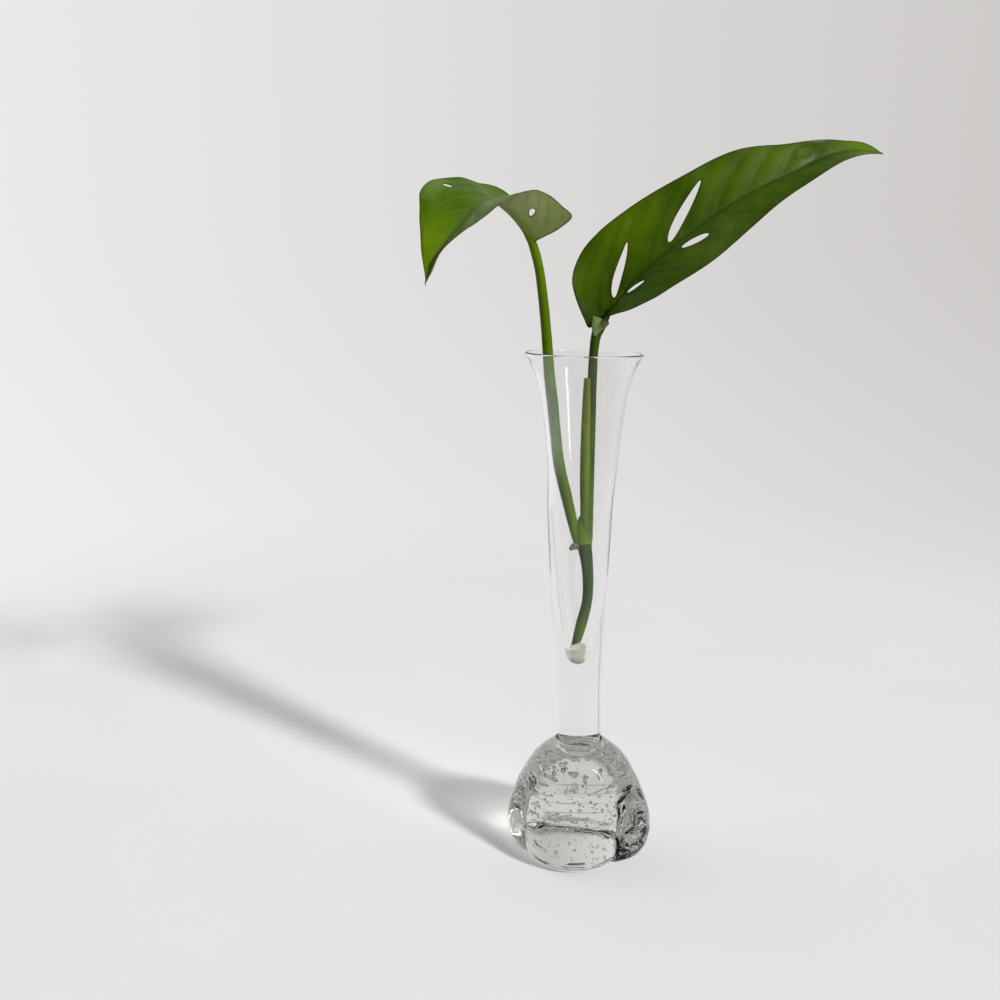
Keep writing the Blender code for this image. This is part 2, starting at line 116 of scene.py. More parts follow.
# the places along the midrib under which the petioles run out, with the radii above
PETIOLE_END_PLACES = [0.6, 3.0, 6.0, 10.0, 16.0]
SHEATH_LINE = [(2.4, 0, 127), (2.5, 0, 134), (2.6, 0, 146), (2.8, 0.2, 160), (3.0, 0.6, 172), (3.2, 1.0, 184),
               (3.4, 1.4, 193)]
SHEATH_INSIDE = 1.6
SHEATH_SKIN = 0.12
SHEATH_THICKNESS = 0.45
SHEATH_PLACES = [0, 10, 25, 45, 63.5]
SHEATH_BULGE = [0.9, 1.0, 1.5, 1.55, 1.05]
SHEATH_HALF_ANGLE = [95, 88, 84, 78, 62]
COLLAR_LINE = [(0.9, 0, 126.3), (0.6, 0, 128.5), (0.3, 0, 131), (0.0, 0, 133.5), (-0.3, 0, 135.8),
               (-0.5, 0, 137.4)]
COLLAR_RADIUS = [3.15, 3.5, 3.3, 2.5, 1.4, 0.4]
ROOT_LINE = [(-0.9, -0.4, 125.9), (-1.8, -0.8, 125.8), (-2.8, -1.1, 125.7), (-3.7, -1.3, 125.2),
             (-4.6, -1.5, 124.4)]
ROOT_RADIUS = [1.2, 1.15, 1.25, 1.05, 0.55]

# ---- the leaves, close to the CAD part ----
BLADE_THICKNESS = 0.3
EDGE_THICKNESS = 0.12
RIB_DEPTH = 1.25
RIB_HALF_WIDTH = 0.95
QUILT_RISE = 0.22
VEIN_SINK = 0.1
VEIN_KEEL = 0.2
MIDRIB_SINK = 0.3
MARGIN_WAVE = 0.25
LEAF_SPACING = 0.72
# s runs along the midrib from the blade's foot, and x runs out to its left, or to its right where negative
RIGHT_LEAF = {
    "midrib": [(5.6, 2.9, 210.3), (11.5, 2.0, 219.5), (23, 1.2, 231), (45, 1.2, 248.5), (60, 2.8, 257.9),
               (75, 5.6, 265.0), (95, 12.0, 273.4), (105, 16.2, 274.8), (114.5, 20.7, 274.2)],
    "side": (-0.54, 0.46, 0.70),
    # (s, degrees) by which each half is folded up, and (s, distance out) of each margin
    "fold_left": [(0, 10), (130, 10)],
    "fold_right": [(0, 70), (8, 45), (20, 30), (130, 26)],
    "left_margin": [(0, 1.0), (-3, 2.4), (-1, 6.8), (3.6, 13.4), (8.6, 18.9), (14.8, 22), (23, 23),
                    (35, 22.2), (57, 19.5), (79, 17.0), (99, 10.2), (117, 5.0), (130, 2.4)],
    "right_margin": [(0, 1.0), (2, 4), (5.8, 7.8), (10.5, 12.5), (17, 14.8), (30, 15.4), (46, 16), (65, 13.6),
                     (88, 9), (104, 7), (118, 4.8), (130, 2)],
    "length": 133.5,
    # (s, x, length, width, heading in degrees, taper, sway) of each hole
    "holes": [(19.8, 6.8, 20.5, 2.8, 34, 0.35, -0.1), (50.6, 8.2, 25.2, 3.3, 28, 0.3, -0.1),
              (19.8, -3.2, 7.6, 1.8, -10, 0.2, 0.0), (47, -4.0, 10.8, 2.5, -12, -0.1, 0.0)],
    # where the side veins leave the midrib, and how far forward they run for each step outwards
    "veins": [-26, -11, 0, 9, 26, 40, 58, 72, 87, 102, 116, 130],
    "sweep": (1.1, 0.022),
    # (s, x, reach, strength) of the paler patches, partly the leaf's own colour and partly painted light, of
    # the painted sheen and of the raised rings
    "pale": [(8, 17, 8, 0.8), (32, 17, 11, 0.7), (62, 12, 11, 0.2), (88, 9, 14, 0.3), (130, 0, 18, 1.0)],
    "grey": [(2, 9, 4, 0.8), (8, 19, 4, 0.6), (52, -10, 14, 0.35)],
    "rings": [(100, 4.5, 2.2, 0.22), (63, -10.5, 1.2, 0.3)],
    # the pale foot of the blade, which curls round the front of the petiole
    "fold": [(4.0, 0.8, 206.2), (4.3, 0.4, 208.0), (5.0, 0.2, 209.9), (5.8, 0.2, 211.3), (6.3, 0.4, 212.4)],
    "fold_widths": [0.5, 1.5, 2.5, 3.1, 3.4],
    # how deep the petiole lies under the midrib, in its own radii: at the foot, more for each mm, and at most
    "sink": (0.5, 0.25, 1.35),
}
LEFT_LEAF = {
    "midrib": [(-19.4, -6.4, 240.7), (-23.8, -11.7, 246.8), (-29.2, -19.5, 251.8), (-34.6, -28, 254.2),
               (-39.2, -33.5, 252.3), (-43.1, -38, 247.8), (-48.2, -43, 241.6), (-51.9, -46.5, 235.9),
               (-55.5, -51, 227.7)],
    "side": (0.56, -0.78, -0.25),
    "fold_left": [(0, 36), (12, 38), (19, 39), (25, 37), (30, 24), (36, 10), (46, 11), (56, 20), (66, 36)],
    "fold_right": [(0, 45), (12, 30), (22, 12), (32, 14), (42, 24), (75, 25)],
    "left_margin": [(0, 1.0), (0.8, 4.5), (3.2, 13.5), (6.5, 19.2), (12, 18), (18, 16.8), (25, 15),
                    (35, 13.2), (46, 11.6), (56, 8.6), (64, 4.4), (70, 1.8)],
    "right_margin": [(0, 1.0), (2, 6), (8, 12), (17, 16.5), (26, 16.5), (34, 19), (39, 20.8), (45, 19),
                     (51, 15), (58, 9.8), (66, 4.5), (71, 1.6)],
    "length": 74,
    "holes": [(13.4, 6.6, 4.3, 1.9, 42, -0.35, 0.0), (36.2, -14.5, 3.4, 1.1, -75, 0.0, 0.0)],
    "veins": [-15, -4, 3, 11, 20, 30, 40, 50, 60, 70],
    "sweep": (0.9, 0.03),
    # the paler tip is the leaf's own colour; the two spots near the foot are painted light on the crest
    "pale": [(68, 0, 11, 1.0), (56, -8, 9, 0.6), (40, -17, 5, 0.3), (12, 12, 7, 0.5), (20, 10, 6, 0.9)],
    # painted sheen, mostly on a narrow strip beside the midrib
    "grey": [(38, -18, 4, 0.8), (24, 5, 6, 0.9), (32, 6, 6, 0.9), (40, 6, 6, 0.9), (48, 5, 5, 0.9),
             (56, 4, 4, 0.8), (62, 2.5, 3, 0.6)],
    "rings": [(20.5, 11.0, 3.6, 0.3)],
    "sink": (0.45, 0.1, 0.8),
}


# ---- curves ----
def ease(value, low, high):
    """0 below low and 1 above high, with a smooth rise between them."""
    t = np.clip((value - low) / (high - low), 0, 1)
    return t * t * (3 - 2 * t)


def smooth_through(places, values, at):
    """Value at each place on a smooth curve through the given values at the given places."""
    places = np.asarray(places, float)
    values = np.asarray(values, float)
    at = np.asarray(at, float)
    slopes = np.gradient(values, places, axis=0)
    cell = np.clip(np.searchsorted(places, at) - 1, 0, len(places) - 2)
    width = places[cell + 1] - places[cell]
    t = np.clip((at - places[cell]) / width, 0, 1)
    if values.ndim == 2:
        width = width[..., None]
        t = t[..., None]
    rise = t * t * (3 - 2 * t)
    straight = values[cell] * (1 - rise) + values[cell + 1] * rise
    return straight + (slopes[cell] * (1 - t) - slopes[cell + 1] * t) * t * (1 - t) * width


def smooth_pairs(pairs, at):
    """The same, for a list of (place, value) pairs."""
    places, values = zip(*pairs)
    return smooth_through(places, values, at)


def chord_lengths(points):
    """Distance walked along the points up to each of them."""
    steps = np.linalg.norm(np.diff(np.asarray(points, float), axis=0), axis=1)
    return np.concatenate([[0], np.cumsum(steps)])


def bumps(spots, s, x):
    """Sum of soft round spots, each (s, x, reach, strength)."""
    total = np.zeros(len(s))
    for at_s, at_x, reach, strength in spots:
        total += strength * np.exp(-((s - at_s) ** 2 + (x - at_x) ** 2) / reach ** 2)
    return total


# ---- pieces ----
def make_piece(name, parts, finishes, slot, *nodes):
    """A piece that rides the frame and stands for CAD nodes.

    Each part is (vertices, faces, number of its finish, {name: value at each vertex}).
    """
    vertices = []
    faces = []
    numbers = []
    names = sorted({key for part in parts for key in part[3]})
    values = {key: [] for key in names}
    for part_vertices, part_faces, number, paint in parts:
        start = len(vertices)
        vertices += [tuple(float(value) * MM for value in vertex) for vertex in part_vertices]
        faces += [tuple(int(corner) + start for corner in face) for face in part_faces]
        numbers += [number] * len(part_faces) if isinstance(number, int) else list(number)
        for key in names:
            values[key] += list(paint.get(key, np.zeros(len(part_vertices))))
    mesh = bpy.data.meshes.new(name)
    mesh.from_pydata(vertices, [], faces)
    mesh.update()
    for finish in finishes:
        mesh.materials.append(finish)
    mesh.polygons.foreach_set("material_index", numbers)
    for key in names:
        layer = mesh.attributes.new(key, "FLOAT", "POINT")
        layer.data.foreach_set("value", np.asarray(values[key], np.float32))
    mesh.shade_smooth()
    mesh.set_sharp_from_angle(angle=radians(50))
    piece = bpy.data.objects.new(name, mesh)
    bpy.context.scene.collection.objects.link(piece)
    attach(piece, "root")
    if nodes:
        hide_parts(*nodes)
    return piece


def join_rings(rings):
    """Vertices and faces of a closed body through rings of equal size, with flat ends."""
    size = len(rings[0])
    vertices = [point for ring in rings for point in ring]
    faces = []
    for low in range(0, (len(rings) - 1) * size, size):
        high = low + size
        for k in range(size):
            after = (k + 1) % size
            faces.append((low + k, low + after, high + after, high + k))
    faces.append(tuple(reversed(range(size))))
    faces.append(tuple(range(len(vertices) - size, len(vertices))))
    return vertices, faces


# ---- materials, whose textures and bumps are in metres ----
def srgb(red, green, blue):
    """A colour given from 0 to 255 as a person sees it, in linear light."""
    share = [value / 255 for value in (red, green, blue)]
    return tuple(v / 12.92 if v <= 0.04045 else ((v + 0.055) / 1.055) ** 2.4 for v in share) + (1.0,)


def put(tree, kind, sockets=None, **settings):
    """A new node with its settings, and its input sockets linked or set."""
    node = tree.nodes.new("ShaderNode" + kind)
    for key, value in settings.items():
        setattr(node, key, value)
    for key, value in (sockets or {}).items():
        if isinstance(value, bpy.types.NodeSocket):
            tree.links.new(value, node.inputs[key])
        else:
            node.inputs[key].default_value = value
    return node


def blend_colors(tree, factor, first, second):
    """The first colour where the factor is 0, and the second where it is 1."""
    node = put(tree, "Mix", data_type="RGBA")
    for socket, value in zip((node.inputs[0], node.inputs[6], node.inputs[7]), (factor, first, second)):
        if isinstance(value, bpy.types.NodeSocket):
            tree.links.new(value, socket)
        else:
            socket.default_value = value
    return node.outputs[2]


def combine(tree, operation, first, second=0.0, clamp=False):
    """Two values put together by a sum, a product or the like."""
    node = put(tree, "Math", {0: first, 1: second}, operation=operation, use_clamp=clamp)
    return node.outputs[0]


def painted(tree, name):
    """The value painted on the mesh under that name."""
    return put(tree, "Attribute", attribute_name=name).outputs["Fac"]


def noise_at(tree, scale, detail=2.0, roughness=0.5, stretch=None):
    """Value of a noise texture in the object's own space, in cycles for each metre."""
    place = put(tree, "TexCoord").outputs["Object"]
    if stretch:
        place = put(tree, "Mapping", {"Vector": place, "Scale": stretch}).outputs[0]
    sockets = {"Vector": place, "Scale": scale, "Detail": detail, "Roughness": roughness}
    return put(tree, "TexNoise", sockets).outputs[0]


def remap(tree, value, low, high, to_low=0.0, to_high=1.0, kind="LINEAR"):
    """The value stretched so that low and high become to_low and to_high."""
    sockets = {0: value, 1: low, 2: high, 3: to_low, 4: to_high}
    node = put(tree, "MapRange", sockets, interpolation_type=kind)
    return node.outputs[0]


def start_material(name):
    made = bpy.data.materials.new(name)
    made.use_nodes = True
    made.node_tree.nodes.clear()
    return made, made.node_tree


def finish_material(tree, shader):
    output = put(tree, "OutputMaterial")
    tree.links.new(shader, output.inputs["Surface"])


def blade_material(name, deep, bright, vein, rib, sheen, edge, roughness, glow, clear):
    """Leaf skin: mottled between two greens, with paler patches that are partly painted light, a painted
    sheen, veins, a thin dark edge and light through it.
    """
    made, tree = start_material(name)
    broad = noise_at(tree, 42, 3.0, 0.55)
    fine = noise_at(tree, 900, 3.0, 0.6)
    streak = noise_at(tree, 260, 2.0, 0.5, (1.0, 1.0, 0.35))
    # the pale share is partly the leaf's own paler colour and partly painted light
    tone = combine(tree, "ADD", painted(tree, "pale"), remap(tree, broad, 0.38, 0.72, -0.18, 0.3), True)
    tone = combine(tree, "ADD", tone, remap(tree, streak, 0.3, 0.7, -0.1, 0.1), True)
    color = blend_colors(tree, tone, deep, bright)
    # painted sheen: a greyer colour laid where the skin would mirror the bright studio
    color = blend_colors(tree, combine(tree, "MULTIPLY", painted(tree, "grey"), 0.7, True), color, sheen)
    color = blend_colors(tree, painted(tree, "vein"), color, vein)
    color = blend_colors(tree, painted(tree, "rib"), color, rib)
    color = blend_colors(tree, painted(tree, "edge"), color, edge)
    speckle = blend_colors(tree, remap(tree, fine, 0.35, 0.65, 0.0, 0.12), color, bright)
    bump = put(tree, "Bump", {"Strength": 0.25, "Distance": 0.00006, "Height": fine})
    rough = remap(tree, broad, 0.3, 0.7, roughness - 0.06, roughness + 0.08)
    skin = put(tree, "BsdfPrincipled", {"Base Color": speckle, "Roughness": rough,
                                        "Normal": bump.outputs[0], "Specular IOR Level": 0.14, "IOR": 1.45})
    through = put(tree, "BsdfTranslucent", {"Color": glow})
    mixed = put(tree, "MixShader", {0: clear, 1: skin.outputs[0], 2: through.outputs[0]})
    finish_material(tree, mixed.outputs[0])
    return made


def stalk_material(name, stops, roughness=0.42):
    """Stalk skin, whose colour changes with height: stops are (height, colour)."""
    made, tree = start_material(name)
    low = stops[0][0] * MM
    high = stops[-1][0] * MM
    place = put(tree, "TexCoord").outputs["Object"]
    height = put(tree, "SeparateXYZ", {0: place}).outputs[2]
    ramp = put(tree, "ValToRGB", {0: remap(tree, height, low, high)})
    band = ramp.color_ramp
    band.elements[0].color = stops[0][1]
    band.elements[1].color = stops[-1][1]
    for z, color in stops[1:-1]:
        band.elements.new((z * MM - low) / (high - low)).color = color
    fibres = noise_at(tree, 1500, 3.0, 0.6, (1.0, 1.0, 0.06))
    mottle = noise_at(tree, 180, 3.0, 0.5)
    darker = put(tree, "HueSaturation", {"Color": ramp.outputs[0], "Value": 0.62, "Saturation": 1.05})
    fibre_share = remap(tree, fibres, 0.35, 0.7, 0.0, 0.4)
    share = combine(tree, "ADD", fibre_share, remap(tree, mottle, 0.4, 0.7, 0.0, 0.3))
    color = blend_colors(tree, share, ramp.outputs[0], darker.outputs[0])
    bump = put(tree, "Bump", {"Strength": 0.35, "Distance": 0.00008, "Height": fibres})
    skin = put(tree, "BsdfPrincipled", {"Base Color": color, "Roughness": roughness,
                                        "Normal": bump.outputs[0], "Specular IOR Level": 0.08, "IOR": 1.45})
    finish_material(tree, skin.outputs[0])
    return made


def plain_material(name, color, other, scale, roughness, bump_depth=0.0001):
    """A matt skin mottled between two colours."""
    made, tree = start_material(name)
    mottle = noise_at(tree, scale, 4.0, 0.6)
    mixed = blend_colors(tree, remap(tree, mottle, 0.35, 0.65), color, other)
    bump = put(tree, "Bump", {"Strength": 0.6, "Distance": bump_depth, "Height": mottle})
    skin = put(tree, "BsdfPrincipled", {"Base Color": mixed, "Roughness": roughness,
                                        "Normal": bump.outputs[0], "Specular IOR Level": 0.3})
    finish_material(tree, skin.outputs[0])
    return made


def glass_material(name, tint, shadow, rim_shadow, wave_scale, wave_depth, weight=1.0, roughness=0.0,
                   foot_tint=None):
    """Clear glass with a slightly wavy face; lamps shine through it, less at its edges.

    With a foot tint the glass takes that colour low down, as painted light for the light gathered in the
    foot, and its underside hardly shades the table.
    """
    made, tree = start_material(name)
    facing = put(tree, "LayerWeight", {"Blend": 0.35})
    shade = blend_colors(tree, facing.outputs["Facing"], shadow, rim_shadow)
    if foot_tint:
        place = put(tree, "TexCoord").outputs["Object"]
        height = put(tree, "SeparateXYZ", {0: place}).outputs[2]
        above_foot = remap(tree, height, *(z * MM for z in FOOT_TINT_BLEND))
        # the lighter foot tint is painted light for the light gathered in the foot
        tint = blend_colors(tree, above_foot, foot_tint, tint)
        above_table = remap(tree, height, *(z * MM for z in FOOT_SHADE_BLEND))
        shade = blend_colors(tree, above_table, (0.95, 0.95, 0.94, 1), shade)
    wave = noise_at(tree, wave_scale, 2.0, 0.5)
    bump = put(tree, "Bump", {"Strength": 1.0, "Distance": wave_depth, "Height": wave})
    glass = put(tree, "BsdfPrincipled", {"Base Color": tint, "Roughness": roughness, "IOR": 1.5,
                                         "Transmission Weight": weight, "Normal": bump.outputs[0]})
    lit_through = put(tree, "BsdfTransparent", {"Color": shade})
    to_lamp = put(tree, "LightPath").outputs["Is Shadow Ray"]
    mixed = put(tree, "MixShader", {0: to_lamp, 1: glass.outputs[0], 2: lit_through.outputs[0]})
    finish_material(tree, mixed.outputs[0])
    return made


# ---- the vase ----
def round_bottom(top, lowest, steps):
    """Heights and radii of a bowl, from near its lowest point up to its top (height, radius)."""
    height, radius = top
    angles = [(k + 1) / (steps + 0.6) * pi / 2 for k in range(steps)]
    return [(height - (height - lowest) * cos(angle), radius * sin(angle)) for angle in angles]


def wall_radius(profile, z):
    """Radius of a drawn wall at a height, averaged over a short stretch so that it bends evenly."""
    reach = min(8, 0.6 * (profile[-1][0] - z), z - profile[0][0])
    return float(np.mean(smooth_pairs(profile, z + reach * np.linspace(-1, 1, 9))))


def tube_ring(z, radius):
    """One level of the tube, moved by its drift and tilted by the rim's slant."""
    middle = TUBE_DRIFT * ease(z, *DRIFT_RISE) * (1 - ease(z, *DRIFT_FALL))
    slant = RIM_SLANT * max(0, (z - RIM_SLANT_START) / (VASE_HEIGHT - RIM_SLANT_START)) ** 2
    turns = tau * np.arange(TUBE_SIDES) / TUBE_SIDES
    x = radius * np.cos(turns)
    return np.stack([middle + x, radius * np.sin(turns), z - slant * x], axis=1)


def make_tube(glass, pearl):
    """The tube as one turned body, with the rounded rim and the well, whose bottom is pearly."""
    rim_z, rim_out = TUBE_OUTSIDE[-1]
    rim_in = TUBE_WELL[-1][1]
    flare = np.arange(FLARE_START, rim_z, FLARE_STEP)
    outer = np.concatenate([np.arange(TUBE_OUTSIDE[0][0], FLARE_START, TUBE_STEP), flare])
    inner = np.concatenate([np.arange(TUBE_WELL[0][0], FLARE_START, TUBE_STEP), flare])[::-1]
    levels = [(SOCKET_BOTTOM, POLE_RADIUS)]
    levels += round_bottom(TUBE_OUTSIDE[0], SOCKET_BOTTOM, 14)
    levels += [(z, wall_radius(TUBE_OUTSIDE, z)) for z in outer]
    for angle in np.linspace(0, 180, 11):
        across = (rim_out + rim_in + (rim_out - rim_in) * cos(radians(angle))) / 2
        levels.append((rim_z + RIM_ROUNDING * sin(radians(angle)), across))
    levels += [(z, wall_radius(TUBE_WELL, z)) for z in inner]
    levels += reversed(round_bottom(TUBE_WELL[0], WELL_BOTTOM, 12))
    levels += [(WELL_BOTTOM, POLE_RADIUS)]
    vertices, faces = join_rings([tube_ring(z, radius) for z, radius in levels])
    pearly = sum(1 for z, radius in levels[len(levels) // 2:] if z < PEARL_TOP) - 1
    numbers = [0] * (len(faces) - 2 - pearly * TUBE_SIDES) + [1] * (pearly * TUBE_SIDES) + [0, 1]
    parts = [(vertices, faces, numbers, {})]
    return make_piece("vase_tube_glass", parts, [glass, pearl], "clear_glass", "vase_tube")


def lobe_outline(turns):
    """The lobed outline as a share of its widest reach, in each direction."""
    total = np.zeros(len(turns))
    for direction, out, radius in LOBES:
        off = turns - radians(direction)
        reach = out * np.cos(off) + np.sqrt(np.maximum(radius ** 2 - (out * np.sin(off)) ** 2, 0))
        total += np.maximum(reach, 0) ** LOBE_BLEND
    return total ** (1 / LOBE_BLEND) / LOBE_REACH


def dome_radius(z, turns):
    """Distance from the axis to the dome's skin at a height, in each direction."""
    lobed = 1 - ease(z, *LOBE_FADE)
    facing = np.maximum(np.cos(turns - radians(FRONT_DIRECTION)), 0)
    lean = FRONT_LEAN * ease(z, 4, 25) * (1 - ease(z, 29, 42)) * facing ** 2
    return smooth_pairs(DOME_PROFILE, z) * (1 + lobed * (lobe_outline(turns) - 1)) * (1 - lean)


def bubble(place, size, squash, lean):
    """An air bubble: a small ball whose faces point inwards, out of the glass around it."""
    ball = bmesh.new()
    bmesh.ops.create_icosphere(ball, subdivisions=3 if size > 0.9 else 2, radius=size)
    points = np.array([vertex.co for vertex in ball.verts])
    faces = [tuple(vertex.index for vertex in reversed(face.verts)) for face in ball.faces]
    ball.free()
    points[:, 2] *= squash
    turned = points.copy()
    turned[:, 0] = points[:, 0] * cos(lean) - points[:, 2] * sin(lean)
    turned[:, 2] = points[:, 0] * sin(lean) + points[:, 2] * cos(lean)
    return turned + np.array(place), faces, 0, {}


def bubble_parts():
    """Bubbles in shells and a ring inside the dome and in clusters at its shoulders, and threads of air."""
    taken = []
    parts = []

    def place_bubble(turn, share, z, size, squash=1.0):
        radius = min(dome_radius(level, np.array([turn]))[0] for level in (z - size, z, z + size))
        reach = radius * share
        place = np.array([reach * cos(turn), reach * sin(turn), z])
        margin = min(radius - reach, z) - size
        foot_z, foot_radius = TUBE_OUTSIDE[0]
        to_socket = np.hypot(reach / (foot_radius + 1.2), (z - foot_z) / (foot_z - SOCKET_BOTTOM + 1.2))
        clear = all(np.linalg.norm(place - other) > size + wide + 0.15 for other, wide in taken)
        if margin > 0.35 and to_socket > 1.05 and clear:
            taken.append((place, size * max(squash, 1.0)))
            parts.append(bubble(place, size, squash, chance.uniform(-0.5, 0.5)))

    for share, low, high, count in BUBBLE_SHELLS:
        for _ in range(count):
            place_bubble(chance.uniform(0, tau), share + chance.uniform(-0.04, 0.04),
                         chance.uniform(low, high), chance.choice((0.28, 0.38, 0.48, 0.65)),
                         chance.uniform(0.7, 1.3))
    for direction, height in BUBBLE_CLUSTERS:
        for _ in range(CLUSTER_COUNT):
            place_bubble(radians(direction) + chance.gauss(0, 0.25), chance.uniform(0.78, 0.95),
                         height + chance.gauss(0, 2.4), chance.choice((0.4, 0.65, 0.95)),
                         chance.uniform(0.8, 1.4))
    for k in range(BUBBLE_RING_COUNT):
        place_bubble(tau * k / BUBBLE_RING_COUNT + chance.uniform(-0.1, 0.1), 0.86,
                     20 + chance.uniform(-0.9, 0.9), chance.choice((0.45, 0.65, 0.9)),
                     chance.uniform(0.6, 0.9))
    place_bubble(radians(195), 0.86, 9, 1.7)
    for z, share, start, end in AIR_THREADS:
        angles = np.radians(np.arange(start, end, 3.0))
        reach = dome_radius(z, angles) * share
        rise = z + 0.6 * np.sin(3 * angles)
        line = np.stack([reach * np.cos(angles), reach * np.sin(angles), rise], axis=1)
        thin = 0.16 * np.sin(np.linspace(0.15, pi - 0.15, len(line))) * (1 + 0.4 * np.sin(9 * angles))
        vertices, faces = join_rings(stalk_rings(line.tolist(), thin.tolist(), 0.8, 8))
        parts.append((vertices, [tuple(reversed(face)) for face in faces], 0, {}))
    return parts


def level_ring(turns, reach, z):
    """Points at one height, each at its own turn and distance from the axis."""
    return np.stack([reach * np.cos(turns), reach * np.sin(turns), np.full(len(turns), z)], axis=1)


def make_base(glass):
    """The lobed dome with its socket for the tube, full of bubbles."""
    turns = tau * np.arange(BASE_SIDES) / BASE_SIDES
    heights = np.concatenate([np.linspace(0, 4, 16), np.arange(4.6, 47, 0.7), [47]])
    rings = []
    for z in heights:
        wave = np.sin(0.9 * z + 2.2 * np.sin(3 * turns)) + np.sin(0.37 * z - 5 * turns)
        wave += 0.4 * np.sin(17 * turns + 0.5 * z)
        reach = dome_radius(z, turns) + SKIN_WAVE * wave * ease(z, 1, 6) * (1 - ease(z, 38, 45))
        rings.append(level_ring(turns, reach, z))
    foot_z, foot_radius = TUBE_OUTSIDE[0]
    socket_top = (foot_z, foot_radius + SOCKET_GAP)
    socket = [socket_top]
    socket += reversed(round_bottom(socket_top, SOCKET_BOTTOM - SOCKET_GAP, 14))
    socket += [(SOCKET_BOTTOM - SOCKET_GAP, POLE_RADIUS)]
    for z, radius in socket:
        rings.append(level_ring(turns, radius, z))
    vertices, faces = join_rings(rings)
    parts = [(vertices, faces, 0, {})] + bubble_parts()
    return make_piece("vase_base_glass", parts, [glass], "bubble_glass", "vase_base")


# ---- the stalks ----
def stalk_rings(line, radii, step, sides=36, oval=1.0, groove=0.0, ripple=0.0):
    """Rings square to a smooth line; a groove runs down the front and a ripple roughens the skin."""
    walked = chord_lengths(line)
    at = np.linspace(0, walked[-1], int(walked[-1] / step) + 1)
    centres = smooth_through(walked, line, at)
    widths = smooth_through(walked, radii, at)
    tangents = np.gradient(centres, at, axis=0)
    turns = tau * np.arange(sides) / sides
    shape = 1 - groove * np.exp(-((turns - 0.5 * pi) / 0.35) ** 2)
    rings = []
    for walk, centre, width, tangent in zip(at, centres, widths, tangents):
        tangent = tangent / np.linalg.norm(tangent)
        front = np.cross(tangent, (1, 0, 0))
        front /= np.linalg.norm(front)
        across = np.cross(front, tangent)
        skin = shape + ripple * np.sin(turns * 5 + walk * 0.35) * np.sin(walk * 0.9 + turns)
        section = np.outer(np.cos(turns) * skin, across) + oval * np.outer(np.sin(turns) * skin, front)
        rings.append(centre + width * section)
    return rings


def under_midrib(leaf, radii):
    """Points a little under the midrib, for a stalk that runs on into the leaf."""
    places = np.array(PETIOLE_END_PLACES)
    place, _, up = midrib_frame(leaf, places)
    start, growth, most = leaf["sink"]
    depth = np.array(radii) * np.minimum(start + growth * places, most)
    return [tuple(point) for point in place - up * depth[:, None]]


def make_petiole(name, node, line, radii, leaf, ends, skin):
    """A petiole that thins out along the underside of its leaf's midrib."""
    line = line + under_midrib(leaf, ends)
    rings = stalk_rings(line, radii + ends, 0.7, groove=0.08, ripple=0.012)
    return make_piece(name, [(*join_rings(rings), 0, {})], [skin], "stalk_skin", node)


def make_stem(skin, cut_flesh):
    """The stem, with a pale slanted cut below and a scar ring at its top."""
    walked = chord_lengths(STEM_LINE)
    rings = stalk_rings(STEM_LINE, STEM_RADIUS, 0.5, 48, STEM_OVAL, groove=0.05, ripple=0.012)
    slope = np.tan(radians(STEM_CUT_SLANT))
    for k, ring in enumerate(rings[:STEM_CUT_RINGS]):
        share = (1 - k / STEM_CUT_RINGS) ** 1.5
        ring[:, 2] += (ring[:, 0] - ring[:, 0].mean()) * slope * share
    top = walked[-1]
    for k, ring in enumerate(rings):
        walk = k / (len(rings) - 1) * top
        raised = 0.06 * np.exp(-((walk - top + 0.9) / 0.35) ** 2)
        sunken = 0.04 * np.exp(-((walk - top + 1.8) / 0.3) ** 2)
        middle = ring.mean(axis=0)
        ring[:] = middle + (ring - middle) * (1 + raised - sunken)
    lowest = rings[0]
    middle = lowest.mean(axis=0)
    rim = [middle + (lowest - middle) * share for share in (0.97, 0.86)]
    rim[1][:, 2] += 0.12
    vertices, faces = join_rings([rim[1], rim[0]] + rings)
    sides = len(lowest)
    numbers = [1] * (2 * sides) + [0] * (len(faces) - 2 * sides - 2) + [1, 0]
    return make_piece("stem_skin", [(vertices, faces, numbers, {})], [skin, cut_flesh], "stem_skin", "stem")


def make_sheath(skin):
    """The split sheath on the right petiole, and the collar that both petioles rise from."""
    walked = chord_lengths(SHEATH_LINE)
    at = np.linspace(SHEATH_PLACES[0], SHEATH_PLACES[-1], 90)
    centres = smooth_through(walked, SHEATH_LINE, at)
    bulges = smooth_through(SHEATH_PLACES, SHEATH_BULGE, at)
    half_angles = np.radians(smooth_through(SHEATH_PLACES, SHEATH_HALF_ANGLE, at))
    share = np.linspace(-1, 1, 25)
    rings = []
    for centre, bulge, half_angle in zip(centres, bulges, half_angles):
        angles = pi + half_angle * share
        arc = np.stack([np.cos(angles), np.sin(angles), np.zeros(len(share))], axis=1)
        lip = SHEATH_THICKNESS * (1 - 0.75 * np.abs(share) ** 4)
        outer = SHEATH_INSIDE + SHEATH_SKIN + lip + bulge * np.cos(share * pi / 2) ** 2
        rings.append(np.concatenate([centre + arc * outer[:, None], centre + arc[::-1] * SHEATH_INSIDE]))
    collar = stalk_rings(COLLAR_LINE, COLLAR_RADIUS, 0.4, 40, 0.66, ripple=0.01)
    parts = [(*join_rings(rings), 0, {}), (*join_rings(collar), 0, {})]
    return make_piece("leaf_sheath_skin", parts, [skin], "sheath_skin", "leaf_sheath")


def make_root(bark):
    """The dry root stub at the joint."""
    rings = stalk_rings(ROOT_LINE, ROOT_RADIUS, 0.12, 28, ripple=0.09)
    return make_piece("aerial_root_bark", [(*join_rings(rings), 0, {})], [bark], "root_bark", "aerial_root")


